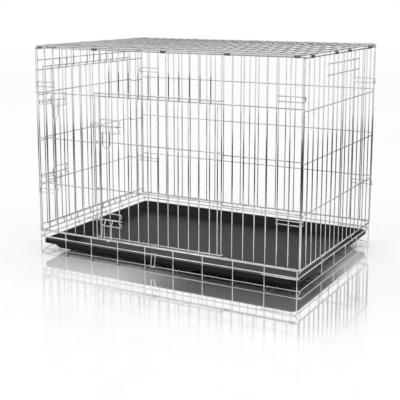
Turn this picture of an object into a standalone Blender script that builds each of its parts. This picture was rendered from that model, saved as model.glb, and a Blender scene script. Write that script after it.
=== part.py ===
"""Wire dog crate: welded wire panels, two latched doors, a plastic tray and a tray stop.

Lengths are in millimetres until place() turns them into metres. X runs along the crate,
Y from the front to the back and Z up. The floor is at Z = 0.
"""
import math

import bmesh
import bpy
from mathutils import Vector

MM = 0.001

# Overall frame, to wire centres
HALF_LENGTH = 465.0
HALF_DEPTH = 318.0
ROOF_Z = 690.0
SILL_Z = 79.0
LONG_TOP_Z = 684.0
# The model is moved by this much so that its bounding box stands centred on the origin
SHIFT_X = 7.447
SHIFT_Y = 6.162

# Wire half-widths; bars are square so that they stay light
UPRIGHT = 1.2
CROSS = 1.42
RAIL = 1.7
MID_RAIL = 1.55
FINE = 1.06
ROD = 2.0

SHARP_TURN = math.radians(75.0)

# Long panels and roof share one pitch
LONG_WIRES = 27
LONG_PITCH = 2 * HALF_LENGTH / (LONG_WIRES - 1)
LONG_CROSS_Z = (240.0, 391.0, 540.0)
FRONT_GAP = (7, 19)
FRONT_LINTEL_Z = 540.0

# End panels
END_WIRES = 17
END_HALF = 310.0
END_PITCH = 2 * END_HALF / (END_WIRES - 1)
END_TOP_Z = 681.0
END_SILL_Z = 75.0
END_CROSS_Z = (232.0, 381.0, 531.0)
LEFT_GAP = (2, 14)
LEFT_GAP_Z = (97.0, 612.5)
LEFT_EXTRA_Z = 644.0
RIGHT_SHORT_Z = (619.0, 652.0)
RIGHT_SHORT = (5, 12)
HOOK_WIRES = (0, 5, 12, 16)
HOOK_X = 456.4
HOOK_FOOT_X = 463.0
HOOK_FOOT_DROP = 3.15

# Corner hairpins on the long panels
HAIRPIN_Z = ((560.0, 575.0), (209.0, 221.0))
HAIRPIN_Y = 319.8
HAIRPIN_X = 470.3
HAIRPIN_REACH_Y = 308.0

# Base
BASE_X = 461.0
BASE_Y = 323.4
BASE_CROSS = 10
BASE_MID_Z = 57.0
# The end wires are U shapes whose legs reach back to the second hoop
END_WIRE_LEFT_Z = 58.8
END_WIRE_RIGHT_Z = 52.2
END_WIRE_LEG_X = 350.0
# The cross wires ramp up just inside their feet
FOOT_FLAT = 6.0
RAMP_TOP_Y = 290.0
CROSS_LEVEL_Z = 12.2
FLOOR_WIRE_Z = 14.4
OUTER_FLOOR_WIRE_Z = 10.1
FLOOR_FRACTIONS = (0.035, 0.30, 0.465, 0.63, 0.80, 0.965)
FLOOR_RISERS = (1, 2, 3, 4)

# Doors
FRONT_DOOR_Y = -324.5
FRONT_DOOR_X = (-230.0, 205.0)
FRONT_DOOR_Z = (88.0, 246.0, 397.0, 550.0)
END_DOOR_X = -471.5
END_DOOR_Y = (-276.0, 223.0)
END_DOOR_Z = (91.0, 238.0, 387.0, 537.0, 620.5)
CURL_RADIUS = 3.9
CURL_STEPS = 6

# Latches
FRONT_LATCH_X = -168.0
FRONT_LATCH_Z = {"upper": 449.0, "lower": 148.0}
END_LATCH_Y = -187.5
END_LATCH_Z = {"upper": 503.0, "lower": 256.0}
BOLT_OUT = 4.1
GUIDE_OUT = 2.56
WAIST_OUT = 8.1
CATCH_OUT = -3.94
CATCH_TIP_OUT = 8.9
HANDLE_OUT = 13.5
HANDLE_DROP = 70.0
LEG_OFFSETS = (-25.0, 2.0)

# Tray
TRAY_HALF_X = 458.5
TRAY_HALF_Y = 320.0
TRAY_RIM_Z = 47.5
TRAY_FLOOR_Z = 16.1
TRAY_SKIRT_Z = 35.0
TRAY_WALL = 2.0
TRAY_CORNER = 18.0
TRAY_SLOPE = 26.0

# Wire bails: the tray stop, drawn lifted clear of the tray, and the small loop on the front
STOP_HALF = 52.0
STOP_REACH = 24.0
STOP_LIFT_DEG = 72.0
LOOP_X = -16.0
LOOP_HALF = 7.0
LOOP_REACH = 39.0
LOOP_LIFT_DEG = 17.0

# Clips
CLIP_LENGTH = 18.0
CLIP_WALL = 1.0
CLIP_GAP = 0.3
LONG_CLIP_BAYS = (0, 6, 12, 19, 25)
TOP_CLIP_BAYS = (0, 6, 13, 19, 25)
END_CLIP_BAYS = (1, 6, 9, 14)

ZINC = (0.55, 0.56, 0.57, 1.0)
PLASTIC = (0.02, 0.02, 0.022, 1.0)


def clear_scene():
    for obj in list(bpy.data.objects):
        bpy.data.objects.remove(obj, do_unlink=True)


def make_collection(name, hidden=False):
    group = bpy.data.collections.new(name)
    bpy.context.scene.collection.children.link(group)
    group.hide_render = hidden
    return group


def make_material(name, colour, metallic, roughness):
    material = bpy.data.materials.new(name)
    material.use_nodes = True
    shader = material.node_tree.nodes["Principled BSDF"]
    shader.inputs["Base Color"].default_value = colour
    shader.inputs["Metallic"].default_value = metallic
    shader.inputs["Roughness"].default_value = roughness
    return material


def turn_at(path, index):
    """How far a path turns at one of its points, in radians."""
    before = path[index] - path[index - 1]
    after = path[(index + 1) % len(path)] - path[index]
    return before.angle(after)


def cut_corners(path, cut, closed):
    """Replaces each sharp corner with two gentler ones, so a bar keeps its thickness round it."""
    points = []
    for index, corner in enumerate(path):
        inner = closed or 0 < index < len(path) - 1
        if inner and turn_at(path, index) > SHARP_TURN:
            before = (path[index - 1] - corner).normalized()
            after = (path[(index + 1) % len(path)] - corner).normalized()
            points.extend([corner + before * cut, corner + after * cut])
        else:
            points.append(corner)
    return points


def wires(paths, half, sides=4, closed=False, tilt=math.pi / 4):
    """One mesh holding a bar of the given half-width along every path; paths stay clear of each other."""
    curve = bpy.data.curves.new("wires", "CURVE")
    curve.dimensions = "3D"
    curve.bevel_resolution = (sides - 4) // 2
    curve.bevel_depth = half * MM * (math.sqrt(2) if sides == 4 else 1)
    curve.use_fill_caps = not closed
    for path in paths:
        corners = cut_corners([Vector(place) for place in path], 2.5 * half, closed)
        spline = curve.splines.new("POLY")
        spline.points.add(len(corners) - 1)
        for index, (point, corner) in enumerate(zip(spline.points, corners)):
            point.co = (*(corner * MM), 1.0)
            point.tilt = tilt
            if closed or 0 < index < len(corners) - 1:
                point.radius = 1 / math.cos(turn_at(corners, index) / 2)
        spline.use_cyclic_u = closed
    holder = bpy.data.objects.new("wires", curve)
    bpy.context.scene.collection.objects.link(holder)
    graph = bpy.context.evaluated_depsgraph_get()
    mesh = bpy.data.meshes.new_from_object(holder.evaluated_get(graph))
    bpy.data.objects.remove(holder, do_unlink=True)
    bpy.data.curves.remove(curve)
    return clean(mesh)


def clean(mesh):
    work = bmesh.new()
    work.from_mesh(mesh)
    bmesh.ops.remove_doubles(work, verts=work.verts, dist=1e-6)
    bmesh.ops.recalc_face_normals(work, faces=work.faces)
    work.to_mesh(mesh)
    work.free()
    return mesh


def place(name, mesh, material, group, axis_point=(0.0, 0.0, 0.0)):
    """Adds the mesh as one named object whose origin is axis_point, moved by the frame shift."""
    spot = Vector(axis_point) * MM
    for vertex in mesh.vertices:
        vertex.co -= spot
    obj = bpy.data.objects.new(name, mesh)
    obj.location = spot + Vector((SHIFT_X, SHIFT_Y, 0.0)) * MM
    group.objects.link(obj)
    mesh.name = name
    mesh.materials.clear()
    mesh.materials.append(material)
    for face in mesh.polygons:
        face.use_smooth = False
    return obj


def weld(name, meshes, material, groups, axis_point=(0.0, 0.0, 0.0)):
    """Joins the first mesh with the others through exact unions."""
    body = place(name, meshes[0], material, groups["crate"], axis_point)
    for index, mesh in enumerate(meshes[1:]):
        cutter = place(f"{name}.add{index}", mesh, material, groups["cutters"], axis_point)
        cutter.display_type = "WIRE"
        cutter.hide_render = True
        union = body.modifiers.new(f"add{index}", "BOOLEAN")
        union.operation = "UNION"
        union.solver = "EXACT"
        union.object = cutter
    return body


def long_x(index):
    return -HALF_LENGTH + index * LONG_PITCH


def end_y(index):
    return -END_HALF + index * END_PITCH


def hairpins(side):
    """Pairs of bars at both ends that wrap round the corner to hold the end panel in."""
    paths = []
    for hand in (-1, 1):
        near = hand * abs(long_x(2))
        tip = hand * HAIRPIN_X
        for low, high in HAIRPIN_Z:
            paths.append([
                (near, side * HAIRPIN_Y, low),
                (tip, side * HAIRPIN_Y, low),
                (tip, side * HAIRPIN_REACH_Y, low),
                (tip, side * HAIRPIN_REACH_Y, high),
                (tip, side * HAIRPIN_Y, high),
                (near, side * HAIRPIN_Y, high),
            ])
    return paths


def split_run(low, high, gap_low, gap_high):
    return ((low, gap_low), (gap_high, high))


def long_panel(name, side, gap, material, groups):
    y = side * HALF_DEPTH
    uprights = []
    for index in range(LONG_WIRES):
        inside = gap is not None and gap[0] < index < gap[1]
        foot = FRONT_LINTEL_Z if inside else SILL_Z
        uprights.append([(long_x(index), y, foot), (long_x(index), y, LONG_TOP_Z)])
    end = HALF_LENGTH + 2.4
    rails = [[(-end, y, z), (end, y, z)] for z in (SILL_Z, LONG_TOP_Z)]
    bars = []
    for z in LONG_CROSS_Z:
        runs = ((-end, end),)
        if gap is not None and z < FRONT_LINTEL_Z:
            runs = split_run(-end, end, long_x(gap[0]), long_x(gap[1]))
        bars.extend([[(a, y, z), (b, y, z)] for a, b in runs])
    parts = [wires(uprights, UPRIGHT), wires(bars, CROSS), wires(rails, RAIL)]
    parts.append(wires(hairpins(side), FINE))
    return weld(name, parts, material, groups)


def roof_panel(material, groups):
    cross = [[(long_x(i), -HALF_DEPTH, ROOF_Z), (long_x(i), HALF_DEPTH, ROOF_Z)]
             for i in range(1, LONG_WIRES - 1)]
    reach = HALF_LENGTH
    along = [[(-reach, HALF_DEPTH * f, ROOF_Z), (reach, HALF_DEPTH * f, ROOF_Z)]
             for f in (-0.667, -0.333, 0.0, 0.333, 0.667)]
    rim = [[(-reach, -HALF_DEPTH, ROOF_Z), (reach, -HALF_DEPTH, ROOF_Z),
            (reach, HALF_DEPTH, ROOF_Z), (-reach, HALF_DEPTH, ROOF_Z)]]
    parts = [wires(cross, UPRIGHT), wires(along, CROSS), wires(rim, RAIL, closed=True)]
    return weld("roof_panel", parts, material, groups)


def hook(x_side, index):
    """The foot of an end-panel upright: it jogs inward and turns out under the base's end wire."""
    inner = x_side * HOOK_X
    outer = x_side * HALF_LENGTH
    y = end_y(index)
    foot_z = (END_WIRE_LEFT_Z if x_side < 0 else END_WIRE_RIGHT_Z) - HOOK_FOOT_DROP
    return [(outer, y, END_SILL_Z - 4.0), (inner, y, END_SILL_Z - 10.0), (inner, y, foot_z),
            (x_side * HOOK_FOOT_X, y, foot_z)]


def end_panel(name, x_side, material, groups):
    x = x_side * HALF_LENGTH
    left = x_side < 0
    uprights = []
    for index in range(END_WIRES):
        foot = [(x, end_y(index), END_SILL_Z)]
        if index in HOOK_WIRES:
            foot = hook(x_side, index)[::-1]
        if left and LEFT_GAP[0] < index < LEFT_GAP[1]:
            low = foot + [(x, end_y(index), LEFT_GAP_Z[0])]
            uprights.append(low)
            uprights.append([(x, end_y(index), LEFT_GAP_Z[1]), (x, end_y(index), END_TOP_Z)])
        else:
            uprights.append(foot + [(x, end_y(index), END_TOP_Z)])
    end = END_HALF + 2.4
    rails = [[(x, -end, z), (x, end, z)] for z in (END_SILL_Z, END_TOP_Z)]
    bars = []
    if left:
        for z in END_CROSS_Z:
            runs = split_run(-end, end, end_y(LEFT_GAP[0]), end_y(LEFT_GAP[1]))
            bars.extend([[(x, a, z), (x, b, z)] for a, b in runs])
        bars.extend([[(x, -end, z), (x, end, z)] for z in (*LEFT_GAP_Z, LEFT_EXTRA_Z)])
    else:
        bars.extend([[(x, -end, z), (x, end, z)] for z in END_CROSS_Z])
        a, b = (end_y(i) for i in RIGHT_SHORT)
        bars.extend([[(x, a - 3.0, z), (x, b + 3.0, z)] for z in RIGHT_SHORT_Z])
    parts = [wires(uprights, UPRIGHT), wires(bars, CROSS), wires(rails, RAIL)]
    return weld(name, parts, material, groups, (x, 0.0, END_TOP_Z))


def base_x(index):
    return -BASE_X + index * 2 * BASE_X / (BASE_CROSS - 1)


def hoop(x):
    """A cross wire of the floor: up both sides, flat at its feet and raised between them."""
    half_path = [(x, -BASE_Y, SILL_Z), (x, -BASE_Y, UPRIGHT), (x, -BASE_Y + FOOT_FLAT, UPRIGHT),
                 (x, -RAMP_TOP_Y, CROSS_LEVEL_Z)]
    return half_path + [(x, -y, z) for x, y, z in half_path[::-1]]


def base_grid(material, groups):
    hoops = [hoop(base_x(index)) for index in range(BASE_CROSS)]
    end = BASE_X + 2.4
    rails = [[(-end, s * BASE_Y, SILL_Z), (end, s * BASE_Y, SILL_Z)] for s in (-1, 1)]
    mid_rails = [[(-end, s * BASE_Y, BASE_MID_Z), (end, s * BASE_Y, BASE_MID_Z)] for s in (-1, 1)]
    end_wires = []
    for side, z in ((-1, END_WIRE_LEFT_Z), (1, END_WIRE_RIGHT_Z)):
        end_wires.append([(side * END_WIRE_LEG_X, -BASE_Y, z), (side * BASE_X, -BASE_Y, z),
                          (side * BASE_X, BASE_Y, z), (side * END_WIRE_LEG_X, BASE_Y, z)])
    floor = []
    for index, fraction in enumerate(FLOOR_FRACTIONS):
        y = (2 * fraction - 1) * BASE_Y
        if index in FLOOR_RISERS:
            floor.append([(-end, y, FLOOR_WIRE_Z), (BASE_X, y, FLOOR_WIRE_Z), (BASE_X, y, END_WIRE_RIGHT_Z)])
        else:
            floor.append([(-end, y, OUTER_FLOOR_WIRE_Z), (end, y, OUTER_FLOOR_WIRE_Z)])
    parts = [wires(hoops, UPRIGHT), wires(rails, RAIL), wires(mid_rails, MID_RAIL)]
    parts.extend([wires(end_wires, CROSS), wires(floor, CROSS)])
    return weld("base_grid", parts, material, groups)


def curl(start_deg, end_deg):
    """Points of a hook round the origin, as (along, out) pairs."""
    points = []
    for step in range(CURL_STEPS + 1):
        angle = math.radians(start_deg + (end_deg - start_deg) * step / CURL_STEPS)
        points.append((CURL_RADIUS * math.cos(angle), CURL_RADIUS * math.sin(angle)))
    return points


def front_door(material, groups):
    y = FRONT_DOOR_Y
    low, high = FRONT_DOOR_Z[0], FRONT_DOOR_Z[-1]
    pin_x = long_x(FRONT_GAP[1])
    bars = []
    for z in FRONT_DOOR_Z:
        path = [(FRONT_DOOR_X[0] - 2.4, y, z), (FRONT_DOOR_X[1] + 3.0, y, z)]
        path.extend([(pin_x + a, -HALF_DEPTH + b, z) for a, b in curl(-115.0, 115.0)])
        bars.append(path)
    places = [FRONT_DOOR_X[0], *(long_x(i) for i in range(7, 19)), FRONT_DOOR_X[1]]
    uprights = [[(x, y, low), (x, y, high)] for x in places]
    return weld("front_door", [wires(uprights, UPRIGHT), wires(bars, CROSS)], material, groups,
                (pin_x, -HALF_DEPTH, 0.0))


def left_end_door(material, groups):
    x = END_DOOR_X
    low, high = END_DOOR_Z[0], END_DOOR_Z[-1]
    pin_y = end_y(LEFT_GAP[1])
    bars = []
    for z in END_DOOR_Z:
        path = [(x, END_DOOR_Y[0] - 2.4, z), (x, END_DOOR_Y[1] + 3.0, z)]
        path.extend([(-HALF_LENGTH + b, pin_y + a, z) for a, b in curl(-115.0, 115.0)])
        bars.append(path)
    places = [END_DOOR_Y[0], *(end_y(i) for i in range(2, 14)), END_DOOR_Y[1]]
    uprights = [[(x, y, low), (x, y, high)] for y in places]
    return weld("left_end_door", [wires(uprights, UPRIGHT), wires(bars, CROSS)], material, groups,
                (-HALF_LENGTH, pin_y, 0.0))


def on_front(along, out, up):
    """Latch coordinates to crate coordinates on the front door."""
    return (along, FRONT_DOOR_Y - out, up)


def on_end(along, out, up):
    """The same on the left end door."""
    return (END_DOOR_X - out, along, up)


def guide(name, to_crate, centre, z, axis_point, material, groups):
    """A closed wire loop welded to the door, pinched at both ends where the bolt passes."""
    flat = GUIDE_OUT
    loop = [
        (31.0, flat, 21.0), (35.0, WAIST_OUT - 2.0, 14.0), (28.0, WAIST_OUT, 3.0),
        (28.0, WAIST_OUT, -3.0), (35.0, WAIST_OUT - 2.0, -14.0), (31.0, flat, -21.0),
        (-34.0, flat, -21.0), (-43.0, WAIST_OUT - 2.0, -14.0), (-40.0, WAIST_OUT, -3.0),
        (-40.0, WAIST_OUT, 3.0), (-43.0, WAIST_OUT - 2.0, 14.0), (-34.0, flat, 21.0),
    ]
    path = [to_crate(centre + a, b, z + c) for a, b, c in loop]
    place(name, wires([path], FINE, closed=True), material, groups["crate"], axis_point)


def bolt(name, to_crate, centre, ends, z, material, groups):
    """A sliding rod with a hanging handle loop."""
    rod = [[to_crate(ends[0], BOLT_OUT, z), to_crate(ends[1], BOLT_OUT, z)]]
    first, second = (centre + offset for offset in LEG_OFFSETS)
    middle = (first + second) / 2
    loop = [
        (first, BOLT_OUT, z), (first, HANDLE_OUT, z - 17.0), (first, HANDLE_OUT, z - HANDLE_DROP + 9.0),
        (middle, HANDLE_OUT, z - HANDLE_DROP), (second, HANDLE_OUT, z - HANDLE_DROP + 9.0),
        (second, HANDLE_OUT, z - 17.0), (second, BOLT_OUT, z),
    ]
    handle = [[to_crate(*point) for point in loop]]
    parts = [wires(rod, ROD, sides=6), wires(handle, FINE + 0.06)]
    weld(name, parts, material, groups, to_crate(centre, BOLT_OUT, z))


def catch(name, to_crate, root, tip, z, axis_point, material, groups):
    """A hairpin loop on the panel: its legs straddle the bolt, its tip closes in front of it."""
    near = CATCH_OUT
    loop = [
        (root, near, 6.5), (tip + 9.0, near, 6.5), (tip, CATCH_TIP_OUT, 6.5),
        (tip, CATCH_TIP_OUT, -6.5), (tip + 9.0, near, -6.5), (root, near, -6.5),
    ]
    path = [to_crate(a, b, z + c) for a, b, c in loop]
    place(name, wires([path], FINE), material, groups["crate"], axis_point)


def rounded_ring(half_x, half_y, radius, z):
    """Corner points of a rounded rectangle, four to each corner."""
    points = []
    for sx, sy, start in ((1, 1, 0), (-1, 1, 90), (-1, -1, 180), (1, -1, 270)):
        for step in range(4):
            angle = math.radians(start + 30 * step)
            points.append(((sx * (half_x - radius) + radius * math.cos(angle)) * MM,
                           (sy * (half_y - radius) + radius * math.sin(angle)) * MM, z * MM))
    return points


def tray(material, groups):
    t = TRAY_WALL
    floor_x = TRAY_HALF_X - TRAY_SLOPE
    floor_y = TRAY_HALF_Y - TRAY_SLOPE
    lip = 8.0
    inner_x = TRAY_HALF_X - lip
    inner_y = TRAY_HALF_Y - lip
    stations = [
        (floor_x, floor_y, TRAY_CORNER - 8, TRAY_FLOOR_Z),
        (inner_x, inner_y, TRAY_CORNER - 3, TRAY_RIM_Z - t),
        (TRAY_HALF_X - t, TRAY_HALF_Y - t, TRAY_CORNER, TRAY_RIM_Z - t),
        (TRAY_HALF_X - t, TRAY_HALF_Y - t, TRAY_CORNER, TRAY_SKIRT_Z),
        (TRAY_HALF_X, TRAY_HALF_Y, TRAY_CORNER + t, TRAY_SKIRT_Z),
        (TRAY_HALF_X, TRAY_HALF_Y, TRAY_CORNER + t, TRAY_RIM_Z),
        (inner_x - t, inner_y - t, TRAY_CORNER - 3 - t, TRAY_RIM_Z),
        (floor_x - t, floor_y - t, TRAY_CORNER - 8 - t, TRAY_FLOOR_Z + t),
    ]
    work = bmesh.new()
    rings = [[work.verts.new(p) for p in rounded_ring(*station)] for station in stations]
    for ring, above in zip(rings, rings[1:]):
        for index, vertex in enumerate(ring):
            after = (index + 1) % len(ring)
            work.faces.new((vertex, ring[after], above[after], above[index]))
    work.faces.new(rings[0][::-1])
    work.faces.new(rings[-1])
    mesh = bpy.data.meshes.new("tray")
    bmesh.ops.recalc_face_normals(work, faces=work.faces)
    work.to_mesh(mesh)
    work.free()
    return place("tray", mesh, material, groups["crate"])


def bail(name, rail, run, out, half, reach, lift_deg, material, groups):
    """A wire U curled over a rail at both tips. run is the rail's direction, out leads off the crate."""
    rail, run, out, up = Vector(rail), Vector(run), Vector(out), Vector((0.0, 0.0, 1.0))
    lift = math.radians(lift_deg)
    along_leg = out * math.sin(lift) - up * math.cos(lift)
    across_leg = out * math.cos(lift) + up * math.sin(lift)
    path = []
    for hand in (-1, 1):
        tip = rail + run * hand * half
        wrap = [tip - along_leg * b + across_leg * a for a, b in curl(230.0, 0.0)]
        foot = [tip + along_leg * reach]
        path.extend(wrap + foot if hand < 0 else foot + wrap[::-1])
    return place(name, wires([path], FINE), material, groups["crate"], rail)


def stadium(half_gap, radius, steps=4):
    """Outline of two half circles joined by straights, as (along, across) points."""
    points = []
    for hand, start in ((1, -90.0), (-1, 90.0)):
        for step in range(steps + 1):
            angle = math.radians(start + 180.0 * step / steps)
            points.append((hand * half_gap + radius * math.cos(angle), radius * math.sin(angle)))
    return points


def clip(name, centre, run, across, half_gap, material, groups):
    """A sleeve of bent strip round two neighbouring rails. run and across are unit axes."""
    run = Vector(run)
    across = Vector(across)
    third = run.cross(across)
    inner = stadium(half_gap, RAIL * math.sqrt(2) + CLIP_GAP)
    outer = stadium(half_gap, RAIL * math.sqrt(2) + CLIP_GAP + CLIP_WALL)
    work = bmesh.new()
    rings = []
    for outline, end in ((inner, -0.5), (outer, -0.5), (outer, 0.5), (inner, 0.5)):
        base = Vector(centre) + run * end * CLIP_LENGTH
        rings.append([work.verts.new((base + across * a + third * b) * MM) for a, b in outline])
    rings.append(rings[0])
    for ring, above in zip(rings, rings[1:]):
        for index, vertex in enumerate(ring):
            after = (index + 1) % len(ring)
            work.faces.new((vertex, ring[after], above[after], above[index]))
    bmesh.ops.recalc_face_normals(work, faces=work.faces)
    mesh = bpy.data.meshes.new(name)
    work.to_mesh(mesh)
    work.free()
    place(name, mesh, material, groups["crate"], centre)


def all_clips(material, groups):
    for word, side in (("front", -1), ("back", 1)):
        sill_y = side * (HALF_DEPTH + BASE_Y) / 2
        sill_gap = (BASE_Y - HALF_DEPTH) / 2
        for number, bay in enumerate(LONG_CLIP_BAYS):
            spot = (long_x(bay + 0.5), sill_y, SILL_Z)
            clip(f"clip_{word}_low_{number + 1}", spot, (1, 0, 0), (0, 1, 0), sill_gap, material, groups)
        top_gap = (ROOF_Z - LONG_TOP_Z) / 2
        for number, bay in enumerate(TOP_CLIP_BAYS):
            spot = (long_x(bay + 0.5), side * HALF_DEPTH, LONG_TOP_Z + top_gap)
            clip(f"clip_{word}_top_{number + 1}", spot, (1, 0, 0), (0, 0, 1), top_gap, material, groups)
    for word, side in (("left", -1), ("right", 1)):
        gap = (ROOF_Z - END_TOP_Z) / 2
        for number, bay in enumerate(END_CLIP_BAYS):
            spot = (side * HALF_LENGTH, end_y(bay + 0.5), END_TOP_Z + gap)
            clip(f"clip_{word}_top_{number + 1}", spot, (0, 1, 0), (0, 0, 1), gap, material, groups)


def latches(zinc, groups):
    pin = (long_x(FRONT_GAP[1]), -HALF_DEPTH, 0.0)
    x = FRONT_LATCH_X
    for word, z in FRONT_LATCH_Z.items():
        guide(f"front_guide_{word}", on_front, x, z, pin, zinc["wire"], groups)
        bolt(f"front_bolt_{word}", on_front, x, (x - 69.0, x + 37.0), z, zinc["bolt"], groups)
        catch(f"front_catch_{word}", on_front, long_x(7) - 2.6, -241.0, z,
              (0.0, 0.0, 0.0), zinc["wire"], groups)
    pin = (-HALF_LENGTH, end_y(LEFT_GAP[1]), 0.0)
    hinge = (-HALF_LENGTH, 0.0, END_TOP_Z)
    y = END_LATCH_Y
    for word, z in END_LATCH_Z.items():
        guide(f"end_guide_{word}", on_end, y, z, pin, zinc["wire"], groups)
        bolt(f"end_bolt_{word}", on_end, y, (y - 95.5, y + 37.5), z, zinc["bolt"], groups)
        catch(f"end_catch_{word}", on_end, end_y(2) - 2.6, -287.0, z,
              hinge, zinc["wire"], groups)


def build():
    clear_scene()
    groups = {"crate": make_collection("wire_dog_crate"), "cutters": make_collection("cutters", True)}
    names = ("base", "front", "back", "roof", "left", "right", "door", "end_door", "clip", "stop")
    zinc = {word: make_material(f"zinc_{word}", ZINC, 1.0, 0.35) for word in (*names, "wire", "bolt")}
    plastic = make_material("tray_plastic", PLASTIC, 0.0, 0.45)
    base_grid(zinc["base"], groups)
    long_panel("front_panel", -1, FRONT_GAP, zinc["front"], groups)
    long_panel("back_panel", 1, None, zinc["back"], groups)
    roof_panel(zinc["roof"], groups)
    end_panel("left_end_panel", -1, zinc["left"], groups)
    end_panel("right_end_panel", 1, zinc["right"], groups)
    front_door(zinc["door"], groups)
    left_end_door(zinc["end_door"], groups)
    latches(zinc, groups)
    tray(plastic, groups)
    bail("pan_stop", (-BASE_X, 0.0, END_WIRE_LEFT_Z), (0, 1, 0), (-1, 0, 0), STOP_HALF, STOP_REACH,
         STOP_LIFT_DEG, zinc["stop"], groups)
    bail("front_loop", (LOOP_X, -BASE_Y, BASE_MID_Z), (1, 0, 0), (0, -1, 0), LOOP_HALF, LOOP_REACH,
         LOOP_LIFT_DEG, zinc["stop"], groups)
    all_clips(zinc["clip"], groups)


build()
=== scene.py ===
"""Looks of the wire dog crate: round welded wire, latches, strip clips and a moulded tray.

Lengths are in millimetres, measured from the middle of the crate and the floor, until
to_world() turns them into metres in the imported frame.
"""
import math

import bmesh
import bpy
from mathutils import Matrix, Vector


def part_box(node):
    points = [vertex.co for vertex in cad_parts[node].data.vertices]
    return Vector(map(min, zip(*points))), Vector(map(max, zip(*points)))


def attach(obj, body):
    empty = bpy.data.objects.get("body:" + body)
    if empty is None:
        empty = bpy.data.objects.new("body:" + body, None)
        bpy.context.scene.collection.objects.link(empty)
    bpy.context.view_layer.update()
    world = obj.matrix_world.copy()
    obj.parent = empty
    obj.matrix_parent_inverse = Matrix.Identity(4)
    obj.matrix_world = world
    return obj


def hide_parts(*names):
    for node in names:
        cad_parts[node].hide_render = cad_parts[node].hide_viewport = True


MM = 0.001

# Frame planes, to wire centres
HALF_LENGTH = 465.0
HALF_DEPTH = 318.0
ROOF_Z = 690.0
SILL_Z = 79.0
LONG_TOP_Z = 684.0
END_TOP_Z = 681.0
END_SILL_Z = 75.0

# Wire radii
INFILL = 1.75
CROSS = 1.75
RAIL = 2.35
MID = 1.8
FINE = 1.45
ROD = 2.0
# Two crossing infill wires sink into each other by this share of their summed radii
WELD = 0.78
LAYER = (INFILL + CROSS) * WELD
# How far a long wire runs past the last wire it crosses, and how far a short one laps its border wire
OVERHANG = 2.4
LAP = 1.2
# How far an upright that ends at a cross wire reaches past it
STUB = 2.5

LONG_WIRES = 27
LONG_PITCH = 2 * HALF_LENGTH / (LONG_WIRES - 1)
LONG_CROSS_Z = (240.0, 391.0, 540.0)
FRONT_GAP = (7, 19)
ROOF_CROSS_SHARES = (-0.667, -0.333, 0.0, 0.333, 0.667)
ROOF_CROSS_DROP = 2.5
END_WIRES = 17
END_HALF = 310.0
END_PITCH = 2 * END_HALF / (END_WIRES - 1)
END_CROSS_Z = (232.0, 381.0, 531.0)
LEFT_GAP = (2, 14)
LEFT_GAP_Z = (97.0, 612.5)
LEFT_EXTRA_Z = 644.0
RIGHT_SHORT_Z = (619.0, 652.0)
RIGHT_SHORT = (5, 12)
HOOK_WIRES = (0, 5, 12, 16)
HOOK_X = 456.4
HOOK_FOOT_X = 462.8
HOOK = 1.5
HAIRPIN_Z = ((560.0, 575.0), (209.0, 221.0))
HAIRPIN_Y = 320.6
HAIRPIN_X = 469.8
HAIRPIN_REACH_Y = 308.0

BASE_X = 461.0
BASE_Y = 323.4
HOOP_Y = 323.0
BASE_CROSS = 10
BASE_MID_Z = 57.0
END_WIRE_LEFT_Z = 58.8
END_WIRE_RIGHT_Z = 52.4
END_WIRE = 1.65
END_WIRE_LEG_X = 350.0
FOOT_FLAT = 6.0
RAMP_TOP_Y = 290.0
CROSS_LEVEL_Z = 12.2
FLOOR_WIRE_Z = 14.5
OUTER_FLOOR_WIRE_Z = 10.4
FLOOR_FRACTIONS = (0.035, 0.30, 0.465, 0.63, 0.80, 0.965)
FLOOR_RISERS = (1, 2, 3, 4)
HOOP = 1.4
FLOOR = 1.5

FRONT_DOOR_Y = -324.5
FRONT_DOOR_X = (-230.0, 205.0)
FRONT_DOOR_Z = (88.0, 246.0, 397.0, 550.0)
END_DOOR_X = -471.5
END_DOOR_Y = (-276.0, 223.0)
END_DOOR_Z = (91.0, 238.0, 387.0, 537.0, 620.5)
CURL_RADIUS = 4.0
CURL_STEPS = 14
DOOR_CURL_DEG = (-115.0, 110.0)
BAIL_CURL_DEG = (230.0, 0.0)

FRONT_LATCH_X = -168.0
FRONT_LATCH_Z = {"upper": 449.0, "lower": 148.0}
END_LATCH_Y = -187.5
END_LATCH_Z = {"upper": 503.0, "lower": 256.0}
BOLT_OUT = 4.1
GUIDE_OUT = 2.7
WAIST_OUT = 8.1
CATCH_OUT = -3.8
CATCH_TIP_OUT = 8.7
HANDLE_OUT = 13.1
HANDLE_DROP = 69.6
LEG_OFFSETS = (-25.0, 2.0)
CATCH_ROOT_IN = 2.6
CATCH_HALF = 6.5
CATCH_BEND = 9.0
FRONT_CATCH_TIP_X = -241.0
END_CATCH_TIP_Y = -287.0
FRONT_BOLT_SPAN = (-69.0, 37.0)
END_BOLT_SPAN = (-95.5, 37.5)

STOP_HALF = 52.0
STOP_REACH = 23.6
STOP_LIFT_DEG = 72.0
LOOP_X = -16.0
LOOP_HALF = 6.6
LOOP_REACH = 38.6
LOOP_LIFT_DEG = 17.0

CLIP_LENGTH = 18.0
CLIP_STRIP = 0.9
CLIP_PLAY = 0.12
CLIP_SEAM = 0.35
CLIP_EDGE = 0.35
CLIP_TOP_BAYS = (0, 6, 13, 19, 25)
CLIP_LOW_BAYS = (0, 6, 12, 19, 25)
CLIP_END_BAYS = (1, 6, 9, 14)

# Camera: place from the middle of the crate, turn to the left and down, lens and sensor in millimetres
CAMERA_MM = (1358.4, -2520.4, 844.8)
CAMERA_TURN = math.radians(28.888)
CAMERA_DOWN = math.radians(10.021)
CAMERA_LENS = 77.79
CAMERA_SENSOR = 36.0
CAMERA_SHIFT_Y = -0.125

# The floor's half-width, in metres
FLOOR_REACH = 30.0
# The dark card: inner and outer reach in metres, and the directions it covers in degrees
CARD_REACH = (0.90, FLOOR_REACH)
CARD_ANGLES = tuple(range(-145, 126, 15))

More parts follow.
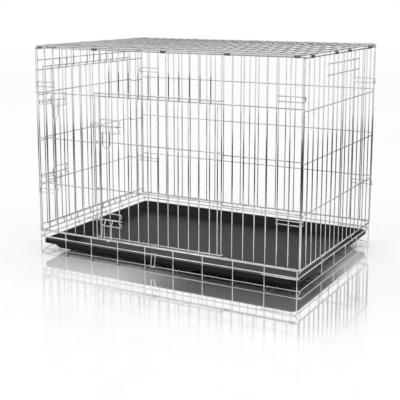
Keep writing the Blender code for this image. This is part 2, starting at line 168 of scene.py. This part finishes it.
# The floor's polish, in metres: it is full as far as POLISH_FADE[0] outside a box of half-size
# POLISH_HALF about the crate's middle, and gone at POLISH_FADE[1]. Outside a second, smaller box it
# also weakens towards STRONG_LEAST.
POLISH_HALF = (0.46, 0.32, 0.0)
POLISH_FADE = (0.14, 0.36)
POLISH = 0.86
STRONG_MIDDLE = (0.34, -0.42, 0.0)
STRONG_HALF = (0.14, 0.18, 0.0)
STRONG_FADE = (0.02, 0.34)
STRONG_LEAST = 0.34

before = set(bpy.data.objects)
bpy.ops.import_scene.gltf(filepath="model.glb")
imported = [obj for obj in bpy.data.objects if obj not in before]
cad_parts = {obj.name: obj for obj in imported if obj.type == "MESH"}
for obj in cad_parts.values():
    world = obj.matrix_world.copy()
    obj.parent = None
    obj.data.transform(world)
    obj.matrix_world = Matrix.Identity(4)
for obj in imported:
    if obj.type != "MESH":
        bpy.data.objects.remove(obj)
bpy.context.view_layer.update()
TRAY_LOW, TRAY_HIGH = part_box("tray")
ORIGIN = Vector(((TRAY_LOW.x + TRAY_HIGH.x) / 2, (TRAY_LOW.y + TRAY_HIGH.y) / 2, 0.0))


def to_world(place):
    return Vector(place) * MM + ORIGIN


# ---------------------------------------------------------------- wire

def rounded(path, radius, closed=False, steps=5):
    """The path with an arc-like bend at every corner."""
    points = []
    count = len(path)
    for index, corner in enumerate(path):
        if not closed and index in (0, count - 1):
            points.append(Vector(corner))
            continue
        corner = Vector(corner)
        back = Vector(path[index - 1]) - corner
        ahead = Vector(path[(index + 1) % count]) - corner
        turn = math.pi - back.angle(ahead)
        if turn < math.radians(12):
            points.append(corner)
            continue
        reach = min(radius * math.tan(turn / 2), 0.45 * back.length, 0.45 * ahead.length)
        start = corner + back.normalized() * reach
        end = corner + ahead.normalized() * reach
        for step in range(steps + 1):
            t = step / steps
            points.append(start * (1 - t) ** 2 + corner * 2 * t * (1 - t) + end * t ** 2)
    return points


def sheared_ends(points, radius):
    """Adds a ring just short of each end, so that cut ends get a small burr-free chamfer."""
    inset = 0.35 * radius
    first = points[0] + (points[1] - points[0]).normalized() * inset
    last = points[-1] + (points[-2] - points[-1]).normalized() * inset
    places = [points[0], first, *points[1:-1], last, points[-1]]
    radii = [0.7 * radius, *([radius] * (len(places) - 2)), 0.7 * radius]
    return places, radii


def wire_piece(name, runs, sides=12):
    """One mesh object of round wire. Each run is (path, radius, bend radius, closed)."""
    curve = bpy.data.curves.new(name, "CURVE")
    curve.dimensions = "3D"
    curve.bevel_depth = MM
    curve.bevel_resolution = (sides - 4) // 2
    curve.use_fill_caps = True
    for path, radius, bend, closed in runs:
        points = rounded(path, bend, closed)
        radii = [radius] * len(points)
        if not closed:
            points, radii = sheared_ends(points, radius)
        spline = curve.splines.new("POLY")
        spline.points.add(len(points) - 1)
        for spot, place, size in zip(spline.points, points, radii):
            spot.co = (*to_world(place), 1.0)
            spot.radius = size
        spline.use_cyclic_u = closed
    holder = bpy.data.objects.new(name, curve)
    bpy.context.scene.collection.objects.link(holder)
    graph = bpy.context.evaluated_depsgraph_get()
    mesh = bpy.data.meshes.new_from_object(holder.evaluated_get(graph))
    bpy.data.objects.remove(holder, do_unlink=True)
    bpy.data.curves.remove(curve)
    return finish_mesh(name, mesh)


def finish_mesh(name, mesh, sharp_deg=40.0):
    work = bmesh.new()
    work.from_mesh(mesh)
    bmesh.ops.remove_doubles(work, verts=work.verts, dist=1e-6)
    bmesh.ops.recalc_face_normals(work, faces=work.faces)
    for face in work.faces:
        face.smooth = True
    for edge in work.edges:
        if len(edge.link_faces) == 2 and edge.calc_face_angle(0.0) > math.radians(sharp_deg):
            edge.smooth = False
    work.to_mesh(mesh)
    work.free()
    mesh.name = name
    piece = bpy.data.objects.new(name, mesh)
    bpy.context.scene.collection.objects.link(piece)
    return piece


def stand_in(piece, body, node, material):
    """Puts a finished piece on its body in place of a CAD node."""
    piece.data.materials.clear()
    piece.data.materials.append(material)
    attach(piece, body)
    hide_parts(node)


def straight(start, end, radius):
    return ([start, end], radius, 0.0, False)


# ---------------------------------------------------------------- materials

class Nodes:
    """A small helper for writing a material's node tree."""

    def __init__(self, name):
        self.material = bpy.data.materials.new(name)
        self.material.use_nodes = True
        self.tree = self.material.node_tree
        self.shader = self.tree.nodes["Principled BSDF"]

    def add(self, kind, **values):
        node = self.tree.nodes.new(kind)
        for key, value in values.items():
            if hasattr(node, key):
                setattr(node, key, value)
            else:
                node.inputs[key.replace("_", " ")].default_value = value
        return node

    def link(self, source, target):
        self.tree.links.new(source, target)

    def coords(self, scale=(1.0, 1.0, 1.0), offset=(0.0, 0.0, 0.0)):
        where = self.add("ShaderNodeTexCoord")
        mapping = self.add("ShaderNodeMapping")
        mapping.inputs["Scale"].default_value = scale
        mapping.inputs["Location"].default_value = offset
        self.link(where.outputs["Object"], mapping.inputs["Vector"])
        return mapping.outputs["Vector"]

    def noise(self, vector, scale, detail=3.0, rough=0.5):
        node = self.add("ShaderNodeTexNoise")
        node.inputs["Scale"].default_value = scale
        node.inputs["Detail"].default_value = detail
        node.inputs["Roughness"].default_value = rough
        self.link(vector, node.inputs["Vector"])
        return node.outputs["Fac"]

    def ramp(self, source, stops):
        node = self.add("ShaderNodeValToRGB")
        band = node.color_ramp
        while len(band.elements) < len(stops):
            band.elements.new(0.5)
        for element, (place, colour) in zip(band.elements, stops):
            element.position = place
            element.color = (*colour, 1.0)
        self.link(source, node.inputs["Fac"])
        return node.outputs["Color"]

    def span(self, source, low, high):
        node = self.add("ShaderNodeMapRange")
        node.inputs["To Min"].default_value = low
        node.inputs["To Max"].default_value = high
        self.link(source, node.inputs["Value"])
        return node.outputs["Result"]

    def mix(self, factor, first, second, blend="MIX"):
        node = self.add("ShaderNodeMix", data_type="RGBA", blend_type=blend)
        if isinstance(factor, float):
            node.inputs[0].default_value = factor
        else:
            self.link(factor, node.inputs[0])
        self.link(first, node.inputs[6])
        self.link(second, node.inputs[7])
        return node.outputs[2]

    def fall(self, vector, middle, half, fade, near, far):
        """A smooth fall from near to far over the distances in fade outside a box about middle."""
        for operation, value in (("SUBTRACT", middle), ("ABSOLUTE", None), ("SUBTRACT", half),
                                 ("MAXIMUM", (0.0, 0.0, 0.0))):
            step = self.add("ShaderNodeVectorMath", operation=operation)
            self.link(vector, step.inputs[0])
            if value is not None:
                step.inputs[1].default_value = value
            vector = step.outputs["Vector"]
        away = self.add("ShaderNodeVectorMath", operation="LENGTH")
        self.link(vector, away.inputs[0])
        easing = self.add("ShaderNodeMapRange", interpolation_type="SMOOTHSTEP")
        for socket, value in zip(("From Min", "From Max", "To Min", "To Max"), (*fade, near, far)):
            easing.inputs[socket].default_value = value
        self.link(away.outputs["Value"], easing.inputs["Value"])
        return easing.outputs["Result"]

    def bump(self, source, strength, distance, below=None):
        node = self.add("ShaderNodeBump")
        node.inputs["Strength"].default_value = strength
        node.inputs["Distance"].default_value = distance
        self.link(source, node.inputs["Height"])
        if below is not None:
            self.link(below, node.inputs["Normal"])
        return node.outputs["Normal"]


def zinc(name, tone, gloss, seed):
    """Bright zinc plate on drawn wire: soft spangle, dull blotches, faint die lines and tiny pits."""
    build = Nodes(name)
    here = build.coords(offset=(seed, seed * 0.7, seed * 0.3))
    blotch = build.noise(here, 38.0, 4.0, 0.6)
    spangle = build.add("ShaderNodeTexVoronoi")
    spangle.inputs["Scale"].default_value = 420.0
    build.link(here, spangle.inputs["Vector"])
    dull = tuple(tone * share for share in (0.80, 0.82, 0.84))
    bright = tuple(min(tone * share, 1.0) for share in (1.16, 1.17, 1.19))
    base = build.ramp(blotch, [(0.30, dull), (0.70, bright)])
    flecks = build.ramp(spangle.outputs["Distance"], [(0.0, (0.88, 0.89, 0.90)), (1.0, (1.0, 1.0, 1.0))])
    colour = build.mix(0.35, base, build.mix(1.0, base, flecks, "MULTIPLY"))
    build.link(colour, build.shader.inputs["Base Color"])
    build.shader.inputs["Metallic"].default_value = 1.0
    build.link(build.span(blotch, gloss - 0.07, gloss + 0.11), build.shader.inputs["Roughness"])
    lines = build.noise(here, 900.0, 2.0, 0.5)
    pits = build.noise(here, 260.0, 5.0, 0.65)
    normal = build.bump(lines, 0.10, 0.00006)
    build.link(build.bump(pits, 0.18, 0.00012, normal), build.shader.inputs["Normal"])
    return build.material


def moulded_black(name):
    """Black injection-moulded plastic: fine leather grain, faint flow marks and scuffed highlights."""
    build = Nodes(name)
    here = build.coords()
    flow = build.noise(here, 6.0, 3.0, 0.55)
    grain = build.noise(here, 1400.0, 2.0, 0.6)
    scuff = build.noise(build.coords(scale=(1.0, 9.0, 1.0)), 40.0, 5.0, 0.7)
    colour = build.ramp(flow, [(0.3, (0.0085, 0.0098, 0.0102)), (0.7, (0.0115, 0.0130, 0.0138))])
    build.link(colour, build.shader.inputs["Base Color"])
    build.link(build.span(scuff, 0.34, 0.52), build.shader.inputs["Roughness"])
    build.shader.inputs["Specular IOR Level"].default_value = 0.12
    soft = build.bump(flow, 0.15, 0.0008)
    build.link(build.bump(grain, 0.25, 0.00012, soft), build.shader.inputs["Normal"])
    return build.material


def pale_floor(name):
    """White acrylic sheet with a mirror polish under and around the crate that fades outwards."""
    build = Nodes(name)
    here = build.coords()
    tone = build.noise(here, 0.8, 2.0, 0.5)
    build.link(build.ramp(tone, [(0.0, (0.93, 0.94, 0.95)), (1.0, (0.95, 0.955, 0.96))]),
               build.shader.inputs["Base Color"])
    near = build.fall(here, (0.0, 0.0, 0.0), POLISH_HALF, POLISH_FADE, POLISH, 0.0)
    strong = build.fall(here, STRONG_MIDDLE, STRONG_HALF, STRONG_FADE, 1.0, STRONG_LEAST)
    mirror = build.add("ShaderNodeMath", operation="MULTIPLY")
    build.link(near, mirror.inputs[0])
    build.link(strong, mirror.inputs[1])
    build.link(mirror.outputs["Value"], build.shader.inputs["Metallic"])
    build.shader.inputs["Roughness"].default_value = 0.06
    build.shader.inputs["Specular IOR Level"].default_value = 0.2
    return build.material


ZINC = {
    "panel": zinc("zinc_panel", 0.64, 0.15, 0.0),
    "rail": zinc("zinc_base", 0.70, 0.15, 3.1),
    "door": zinc("zinc_door", 0.64, 0.15, 5.7),
    "latch": zinc("zinc_latch", 0.68, 0.15, 8.3),
    "clip": zinc("zinc_clip", 0.50, 0.24, 11.9),
}
PLASTIC = moulded_black("tray_black")


# ---------------------------------------------------------------- panels

def long_x(index):
    return -HALF_LENGTH + index * LONG_PITCH


def end_y(index):
    return -END_HALF + index * END_PITCH


def hairpin_runs(side):
    runs = []
    for hand in (-1, 1):
        near = hand * (abs(long_x(2)) - 3.0)
        tip = hand * HAIRPIN_X
        out = side * HAIRPIN_Y
        back = side * HAIRPIN_REACH_Y
        for low, high in HAIRPIN_Z:
            path = [(near, out, low), (tip, out, low), (tip, back, low),
                    (tip, back, high), (tip, out, high), (near, out, high)]
            runs.append((path, FINE, 4.0, False))
    return runs


def long_panel(name, node, side, gap):
    y = side * HALF_DEPTH
    inner = side * (HALF_DEPTH - LAYER)
    runs = []
    for index in range(LONG_WIRES):
        inside = gap is not None and gap[0] < index < gap[1]
        foot = LONG_CROSS_Z[-1] - STUB if inside else SILL_Z
        runs.append(straight((long_x(index), y, foot), (long_x(index), y, LONG_TOP_Z), INFILL))
    end = HALF_LENGTH + OVERHANG
    for z in (SILL_Z, LONG_TOP_Z):
        runs.append(straight((-end, y, z), (end, y, z), RAIL))
    for z in LONG_CROSS_Z:
        spans = ((-end, end),)
        if gap is not None and z < LONG_CROSS_Z[-1]:
            spans = ((-end, long_x(gap[0]) + LAP), (long_x(gap[1]) - LAP, end))
        runs.extend(straight((a, inner, z), (b, inner, z), CROSS) for a, b in spans)
    runs.extend(hairpin_runs(side))
    stand_in(wire_piece(name, runs), "frame", node, ZINC["panel"])


def roof_panel():
    under = ROOF_Z - ROOF_CROSS_DROP
    runs = []
    for index in range(1, LONG_WIRES - 1):
        x = long_x(index)
        runs.append(straight((x, -HALF_DEPTH, ROOF_Z), (x, HALF_DEPTH, ROOF_Z), INFILL))
    for share in ROOF_CROSS_SHARES:
        y = share * HALF_DEPTH
        runs.append(straight((-HALF_LENGTH, y, under), (HALF_LENGTH, y, under), CROSS))
    rim = [(-HALF_LENGTH, -HALF_DEPTH, ROOF_Z), (HALF_LENGTH, -HALF_DEPTH, ROOF_Z),
           (HALF_LENGTH, HALF_DEPTH, ROOF_Z), (-HALF_LENGTH, HALF_DEPTH, ROOF_Z)]
    runs.append((rim, RAIL, 6.0, True))
    stand_in(wire_piece("roof_wires", runs), "frame", "roof_panel", ZINC["panel"])


def hook_run(x_side, index):
    """An upright's foot: it jogs inward, drops past the base's end wire and turns out under it."""
    y = end_y(index)
    outer = x_side * HALF_LENGTH
    inner = x_side * HOOK_X
    over = END_WIRE_LEFT_Z if x_side < 0 else END_WIRE_RIGHT_Z
    foot_z = over - END_WIRE - HOOK - 0.15
    path = [(outer, y, END_SILL_Z + 1.0), (outer, y, END_SILL_Z - 4.0), (inner, y, END_SILL_Z - 10.0),
            (inner, y, foot_z), (x_side * HOOK_FOOT_X, y, foot_z)]
    return (path, HOOK, 3.0, False)


def end_panel(name, node, body, x_side):
    x = x_side * HALF_LENGTH
    inner = x_side * (HALF_LENGTH - LAYER)
    left = x_side < 0
    runs = []
    for index in range(END_WIRES):
        y = end_y(index)
        if index in HOOK_WIRES:
            runs.append(hook_run(x_side, index))
        spans = ((END_SILL_Z, END_TOP_Z),)
        if left and LEFT_GAP[0] < index < LEFT_GAP[1]:
            spans = ((END_SILL_Z, LEFT_GAP_Z[0] + STUB), (LEFT_GAP_Z[1] - STUB, END_TOP_Z))
        runs.extend(straight((x, y, low), (x, y, high), INFILL) for low, high in spans)
    end = END_HALF + OVERHANG
    for z in (END_SILL_Z, END_TOP_Z):
        runs.append(straight((x, -end, z), (x, end, z), RAIL))
    if left:
        spans = ((-end, end_y(LEFT_GAP[0]) + LAP), (end_y(LEFT_GAP[1]) - LAP, end))
        for z in END_CROSS_Z:
            runs.extend(straight((inner, a, z), (inner, b, z), CROSS) for a, b in spans)
        runs.extend(straight((inner, -end, z), (inner, end, z), CROSS) for z in (*LEFT_GAP_Z, LEFT_EXTRA_Z))
    else:
        runs.extend(straight((inner, -end, z), (inner, end, z), CROSS) for z in END_CROSS_Z)
        a, b = end_y(RIGHT_SHORT[0]) - 3.0, end_y(RIGHT_SHORT[1]) + 3.0
        runs.extend(straight((inner, a, z), (inner, b, z), CROSS) for z in RIGHT_SHORT_Z)
    stand_in(wire_piece(name, runs), body, node, ZINC["panel"])


def base_grid():
    runs = []
    for index in range(BASE_CROSS):
        x = -BASE_X + index * 2 * BASE_X / (BASE_CROSS - 1)
        front = [(x, -HOOP_Y, SILL_Z), (x, -HOOP_Y, HOOP), (x, -HOOP_Y + FOOT_FLAT, HOOP),
                 (x, -RAMP_TOP_Y, CROSS_LEVEL_Z)]
        back = [(x, -y, z) for x, y, z in front[::-1]]
        runs.append((front + back, HOOP, 4.0, False))
    end = BASE_X + OVERHANG
    for side in (-1, 1):
        y = side * BASE_Y
        runs.append(straight((-end, y, SILL_Z), (end, y, SILL_Z), RAIL))
        runs.append(straight((-end, y, BASE_MID_Z), (end, y, BASE_MID_Z), MID))
    for hand, z in ((-1, END_WIRE_LEFT_Z), (1, END_WIRE_RIGHT_Z)):
        x = hand * BASE_X
        leg = hand * END_WIRE_LEG_X
        path = [(leg, -BASE_Y, z), (x, -BASE_Y, z), (x, BASE_Y, z), (leg, BASE_Y, z)]
        runs.append((path, END_WIRE, 6.0, False))
    for index, share in enumerate(FLOOR_FRACTIONS):
        y = (2 * share - 1) * BASE_Y
        path = [(-end, y, OUTER_FLOOR_WIRE_Z), (end, y, OUTER_FLOOR_WIRE_Z)]
        if index in FLOOR_RISERS:
            path = [(-end, y, FLOOR_WIRE_Z), (BASE_X, y, FLOOR_WIRE_Z), (BASE_X, y, END_WIRE_RIGHT_Z)]
        runs.append((path, FLOOR, 2.0, False))
    stand_in(wire_piece("base_wires", runs), "frame", "base_grid", ZINC["rail"])


# ---------------------------------------------------------------- doors and latches

def curl(start_deg, end_deg):
    points = []
    for step in range(CURL_STEPS + 1):
        angle = math.radians(start_deg + (end_deg - start_deg) * step / CURL_STEPS)
        points.append((CURL_RADIUS * math.cos(angle), CURL_RADIUS * math.sin(angle)))
    return points


def on_front(along, out, up):
    return (along, FRONT_DOOR_Y - out, up)


def on_end(along, out, up):
    return (END_DOOR_X - out, along, up)


def door(name, node, body, to_crate, span, levels, wires_at, pin):
    """Uprights in the door's plane, cross wires behind them whose ends curl round the pin wire."""
    low, high = levels[0] - OVERHANG, levels[-1] + OVERHANG
    runs = [straight(to_crate(a, 0.0, low), to_crate(a, 0.0, high), INFILL) for a in wires_at]
    for z in levels:
        path = [(span[0] - OVERHANG, -LAYER, z), (pin[0] - CURL_RADIUS - 6.0, -LAYER, z)]
        path.extend((pin[0] + a, pin[1] - b, z) for a, b in curl(*DOOR_CURL_DEG))
        runs.append(([to_crate(*place) for place in path], CROSS, 3.0, False))
    stand_in(wire_piece(name, runs), body, node, ZINC["door"])


def guide(name, node, body, to_crate, centre, z):
    low = GUIDE_OUT
    mid = WAIST_OUT - 2.2
    high = WAIST_OUT
    loop = [
        (32.0, low, 21.0), (36.0, mid, 13.0), (27.5, high, 2.6), (27.5, high, -2.6), (36.0, mid, -13.0),
        (32.0, low, -21.0), (-34.0, low, -21.0), (-44.0, mid, -13.0), (-39.5, high, -2.6),
        (-39.5, high, 2.6), (-44.0, mid, 13.0), (-34.0, low, 21.0),
    ]
    path = [to_crate(centre + a, b, z + c) for a, b, c in loop]
    piece = wire_piece(name, [(path, FINE, 5.0, True)])
    stand_in(piece, body, node, ZINC["latch"])


def bolt(name, node, body, to_crate, centre, ends, z):
    first, second = (centre + offset for offset in LEG_OFFSETS)
    middle = (first + second) / 2
    foot = z - HANDLE_DROP
    loop = [
        (first, BOLT_OUT + 0.4, z), (first, HANDLE_OUT, z - 17.0), (first, HANDLE_OUT, foot + 9.0),
        (middle, HANDLE_OUT, foot), (second, HANDLE_OUT, foot + 9.0), (second, HANDLE_OUT, z - 17.0),
        (second, BOLT_OUT + 0.4, z),
    ]
    runs = [straight(to_crate(ends[0], BOLT_OUT, z), to_crate(ends[1], BOLT_OUT, z), ROD),
            ([to_crate(*place) for place in loop], FINE, 9.0, False)]
    stand_in(wire_piece(name, runs), body, node, ZINC["latch"])


def catch(name, node, body, to_crate, root, tip, z):
    near = CATCH_OUT
    bend = tip + CATCH_BEND
    loop = [
        (root, near, CATCH_HALF), (bend, near, CATCH_HALF), (tip, CATCH_TIP_OUT, CATCH_HALF),
        (tip, CATCH_TIP_OUT, -CATCH_HALF), (bend, near, -CATCH_HALF), (root, near, -CATCH_HALF),
    ]
    path = [to_crate(a, b, z + c) for a, b, c in loop]
    piece = wire_piece(name, [(path, FINE - 0.15, 4.0, False)])
    stand_in(piece, body, node, ZINC["latch"])


def latches(side, door_body, panel_body, to_crate, centre, levels, span, root, tip):
    """The guide, bolt and catch of a door at each of its latch heights."""
    for word, z in levels.items():
        guide(f"{side}_guide_wire_{word}", f"{side}_guide_{word}", door_body, to_crate, centre, z)
        bolt(f"{side}_bolt_wire_{word}", f"{side}_bolt_{word}", f"{side}_bolt_{word}", to_crate, centre,
             (centre + span[0], centre + span[1]), z)
        catch(f"{side}_catch_wire_{word}", f"{side}_catch_{word}", panel_body, to_crate, root, tip, z)


def bail(name, body, rail, run, out, half, reach, lift_deg):
    """A wire U curled over a rail at both tips. run is the rail's direction, out leads off the crate."""
    rail, run, out, up = Vector(rail), Vector(run), Vector(out), Vector((0.0, 0.0, 1.0))
    lift = math.radians(lift_deg)
    along_leg = out * math.sin(lift) - up * math.cos(lift)
    across_leg = out * math.cos(lift) + up * math.sin(lift)
    path = []
    for hand in (-1, 1):
        tip = rail + run * hand * half
        wrap = [tip - along_leg * b + across_leg * a for a, b in curl(*BAIL_CURL_DEG)]
        foot = [tip + along_leg * reach]
        path.extend(wrap + foot if hand < 0 else foot + wrap[::-1])
    piece = wire_piece(name + "_wire", [(path, FINE, 5.0, False)])
    stand_in(piece, body, name, ZINC["latch"])


# ---------------------------------------------------------------- clips

def strip_outline(half_gap, radius, steps=8):
    """Half circles joined by straights, opened at a seam on one flat side, as (along, across)."""
    points = []
    for hand, start in ((1, -90.0), (-1, 90.0)):
        for step in range(steps + 1):
            angle = math.radians(start + 180.0 * step / steps)
            points.append((hand * half_gap + radius * math.cos(angle), radius * math.sin(angle)))
    return [(CLIP_SEAM, -radius), *points, (-CLIP_SEAM, -radius)]


def clip(node, centre, run, across, half_gap):
    """A strip of zinc plate rolled round two rails, with a narrow seam and rounded edges."""
    run = Vector(run)
    across = Vector(across)
    third = run.cross(across)
    inner = strip_outline(half_gap, RAIL + CLIP_PLAY)
    outer = strip_outline(half_gap, RAIL + CLIP_PLAY + CLIP_STRIP)
    work = bmesh.new()
    rings = []
    for end, outline, trim in ((-0.5, inner, 0.0), (-0.5, outer, CLIP_EDGE), (0.5, outer, CLIP_EDGE),
                               (0.5, inner, 0.0)):
        base = Vector(centre) + run * (end * CLIP_LENGTH - math.copysign(trim, end))
        rings.append([work.verts.new(to_world(base + across * a + third * b)) for a, b in outline])
    rings.append(rings[0])
    for ring, above in zip(rings, rings[1:]):
        for index in range(len(ring) - 1):
            work.faces.new((ring[index], ring[index + 1], above[index + 1], above[index]))
    for index in (0, -1):
        work.faces.new([ring[index] for ring in rings[:4]])
    bmesh.ops.recalc_face_normals(work, faces=work.faces)
    mesh = bpy.data.meshes.new(node)
    work.to_mesh(mesh)
    work.free()
    piece = finish_mesh(node.replace("clip", "band"), mesh, 35.0)
    stand_in(piece, "frame", node, ZINC["clip"])


def all_clips():
    for word, side in (("front", -1), ("back", 1)):
        low_y = side * (HALF_DEPTH + BASE_Y) / 2
        for number, bay in enumerate(CLIP_LOW_BAYS, 1):
            clip(f"clip_{word}_low_{number}", (long_x(bay + 0.5), low_y, SILL_Z), (1, 0, 0), (0, 1, 0),
                 (BASE_Y - HALF_DEPTH) / 2)
        gap = (ROOF_Z - LONG_TOP_Z) / 2
        for number, bay in enumerate(CLIP_TOP_BAYS, 1):
            clip(f"clip_{word}_top_{number}", (long_x(bay + 0.5), side * HALF_DEPTH, LONG_TOP_Z + gap),
                 (1, 0, 0), (0, 0, 1), gap)
    gap = (ROOF_Z - END_TOP_Z) / 2
    for word, side in (("left", -1), ("right", 1)):
        for number, bay in enumerate(CLIP_END_BAYS, 1):
            clip(f"clip_{word}_top_{number}", (side * HALF_LENGTH, end_y(bay + 0.5), END_TOP_Z + gap),
                 (0, 1, 0), (0, 0, 1), gap)


# ---------------------------------------------------------------- tray

TRAY_HALF = (458.5, 320.0)
TRAY_CORNER = 20.0
CORNER_STEPS = 10


def tray_ring(inset, z):
    """A rounded rectangle, set in from the tray's outer edge."""
    half_x = TRAY_HALF[0] - inset
    half_y = TRAY_HALF[1] - inset
    radius = TRAY_CORNER + inset * 0.6
    points = []
    for sx, sy, start in ((1, 1, 0), (-1, 1, 90), (-1, -1, 180), (1, -1, 270)):
        for step in range(CORNER_STEPS + 1):
            angle = math.radians(start + 90 * step / CORNER_STEPS)
            points.append((sx * (half_x - radius) + radius * math.cos(angle),
                           sy * (half_y - radius) + radius * math.sin(angle), z))
    return points


def tray():
    """Profile from the underside of the floor, out round the rim and back down to the inside floor."""
    profile = [(38.0, 16.1), (27.5, 16.1), (25.2, 16.8), (23.6, 19.0), (10.6, 42.8), (9.4, 44.7),
               (7.4, 45.5), (3.4, 45.5), (2.2, 44.6), (1.9, 43.0), (1.9, 35.6), (1.6, 35.1), (0.5, 35.0),
               (0.0, 35.5), (0.0, 44.8), (0.5, 46.4), (2.0, 47.4), (3.4, 47.5), (8.2, 47.5), (9.8, 47.1),
               (11.2, 45.6), (12.2, 43.8), (25.0, 20.6), (26.6, 18.7), (29.2, 18.1), (38.0, 18.1)]
    work = bmesh.new()
    rings = [[work.verts.new(to_world(place)) for place in tray_ring(inset, z)] for inset, z in profile]
    for ring, above in zip(rings, rings[1:]):
        for index, vertex in enumerate(ring):
            after = (index + 1) % len(ring)
            work.faces.new((vertex, ring[after], above[after], above[index]))
    work.faces.new(rings[0][::-1])
    work.faces.new(rings[-1])
    bmesh.ops.recalc_face_normals(work, faces=work.faces)
    mesh = bpy.data.meshes.new("tray_shell")
    work.to_mesh(mesh)
    work.free()
    stand_in(finish_mesh("tray_shell", mesh, 50.0), "tray", "tray", PLASTIC)


# ---------------------------------------------------------------- studio

def dark_card():
    """A flat dark ring on the floor that only reflections see: it gives each wire a dark side."""
    points = [(reach * math.cos(math.radians(angle)), reach * math.sin(math.radians(angle)), 0.0)
              for reach in CARD_REACH for angle in CARD_ANGLES]
    count = len(CARD_ANGLES)
    faces = [(i, count + i, count + i + 1, i + 1) for i in range(count - 1)]
    mesh = bpy.data.meshes.new("dark_card")
    mesh.from_pydata(points, [], faces)
    card = bpy.data.objects.new("dark_card", mesh)
    bpy.context.scene.collection.objects.link(card)
    card.location.z = 0.002
    build = Nodes("dark_card")
    felt = build.noise(build.coords(), 300.0)
    build.link(build.ramp(felt, [(0.3, (0.015, 0.015, 0.016)), (0.7, (0.025, 0.025, 0.026))]),
               build.shader.inputs["Base Color"])
    build.shader.inputs["Roughness"].default_value = 1.0
    build.shader.inputs["Specular IOR Level"].default_value = 0.0
    clear = build.add("ShaderNodeBsdfTransparent")
    facing = build.add("ShaderNodeNewGeometry")
    either = build.add("ShaderNodeMixShader")
    build.link(facing.outputs["Backfacing"], either.inputs[0])
    build.link(build.shader.outputs["BSDF"], either.inputs[1])
    build.link(clear.outputs["BSDF"], either.inputs[2])
    build.link(either.outputs["Shader"], build.tree.nodes["Material Output"].inputs["Surface"])
    mesh.materials.append(build.material)
    for way in ("camera", "diffuse", "shadow", "transmission"):
        setattr(card, f"visible_{way}", False)


def studio():
    floor_mesh = bpy.data.meshes.new("studio_floor")
    size = FLOOR_REACH
    floor_mesh.from_pydata([(-size, -size, 0), (size, -size, 0), (size, size, 0), (-size, size, 0)], [],
                           [(0, 1, 2, 3)])
    floor = bpy.data.objects.new("studio_floor", floor_mesh)
    bpy.context.scene.collection.objects.link(floor)
    floor.location.z = -0.0005
    floor_mesh.materials.append(pale_floor("studio_floor"))
    dark_card()
    world = bpy.data.worlds.new("studio")
    world.use_nodes = True
    world.node_tree.nodes["Background"].inputs["Color"].default_value = (1.0, 1.0, 1.0, 1.0)
    world.node_tree.nodes["Background"].inputs["Strength"].default_value = 1.0
    bpy.context.scene.world = world
    bpy.context.scene.view_settings.view_transform = "Standard"
    for name, place, aim, size, power in (
        ("key", (-1.6, -2.4, 3.2), (0.0, 0.0, 0.3), 2.4, 12.0),
        ("fill", (2.6, -1.2, 2.2), (0.0, 0.0, 0.3), 2.4, 6.0),
    ):
        lamp = bpy.data.lights.new(name, "AREA")
        lamp.size = size
        lamp.energy = power
        holder = bpy.data.objects.new(name, lamp)
        holder.location = place
        holder.rotation_euler = (Vector(aim) - Vector(place)).to_track_quat("-Z", "Y").to_euler()
        bpy.context.scene.collection.objects.link(holder)


def camera():
    data = bpy.data.cameras.new("camera")
    data.lens = CAMERA_LENS
    data.sensor_width = CAMERA_SENSOR
    data.shift_y = CAMERA_SHIFT_Y
    holder = bpy.data.objects.new("camera", data)
    holder.location = to_world(CAMERA_MM)
    holder.rotation_euler = (math.pi / 2 - CAMERA_DOWN, 0.0, CAMERA_TURN)
    bpy.context.scene.collection.objects.link(holder)
    bpy.context.scene.camera = holder


camera()
base_grid()
long_panel("front_wires", "front_panel", -1, FRONT_GAP)
long_panel("back_wires", "back_panel", 1, None)
roof_panel()
end_panel("left_end_wires", "left_end_panel", "left_end", -1)
end_panel("right_end_wires", "right_end_panel", "right_end", 1)
door("front_door_wires", "front_door", "front_door", on_front, FRONT_DOOR_X, FRONT_DOOR_Z,
     [FRONT_DOOR_X[0], *(long_x(i) for i in range(*FRONT_GAP)), FRONT_DOOR_X[1]],
     (long_x(FRONT_GAP[1]), FRONT_DOOR_Y + HALF_DEPTH))
door("left_end_door_wires", "left_end_door", "left_end_door", on_end, END_DOOR_Y, END_DOOR_Z,
     [END_DOOR_Y[0], *(end_y(i) for i in range(*LEFT_GAP)), END_DOOR_Y[1]],
     (end_y(LEFT_GAP[1]), END_DOOR_X + HALF_LENGTH))
latches("front", "front_door", "frame", on_front, FRONT_LATCH_X, FRONT_LATCH_Z, FRONT_BOLT_SPAN,
        long_x(FRONT_GAP[0]) - CATCH_ROOT_IN, FRONT_CATCH_TIP_X)
latches("end", "left_end_door", "left_end", on_end, END_LATCH_Y, END_LATCH_Z, END_BOLT_SPAN,
        end_y(LEFT_GAP[0]) - CATCH_ROOT_IN, END_CATCH_TIP_Y)
bail("pan_stop", "pan_stop", (-BASE_X, 0.0, END_WIRE_LEFT_Z), (0, 1, 0), (-1, 0, 0), STOP_HALF, STOP_REACH,
     STOP_LIFT_DEG)
bail("front_loop", "front_loop", (LOOP_X, -BASE_Y, BASE_MID_Z), (1, 0, 0), (0, -1, 0), LOOP_HALF, LOOP_REACH,
     LOOP_LIFT_DEG)
all_clips()
tray()
studio()
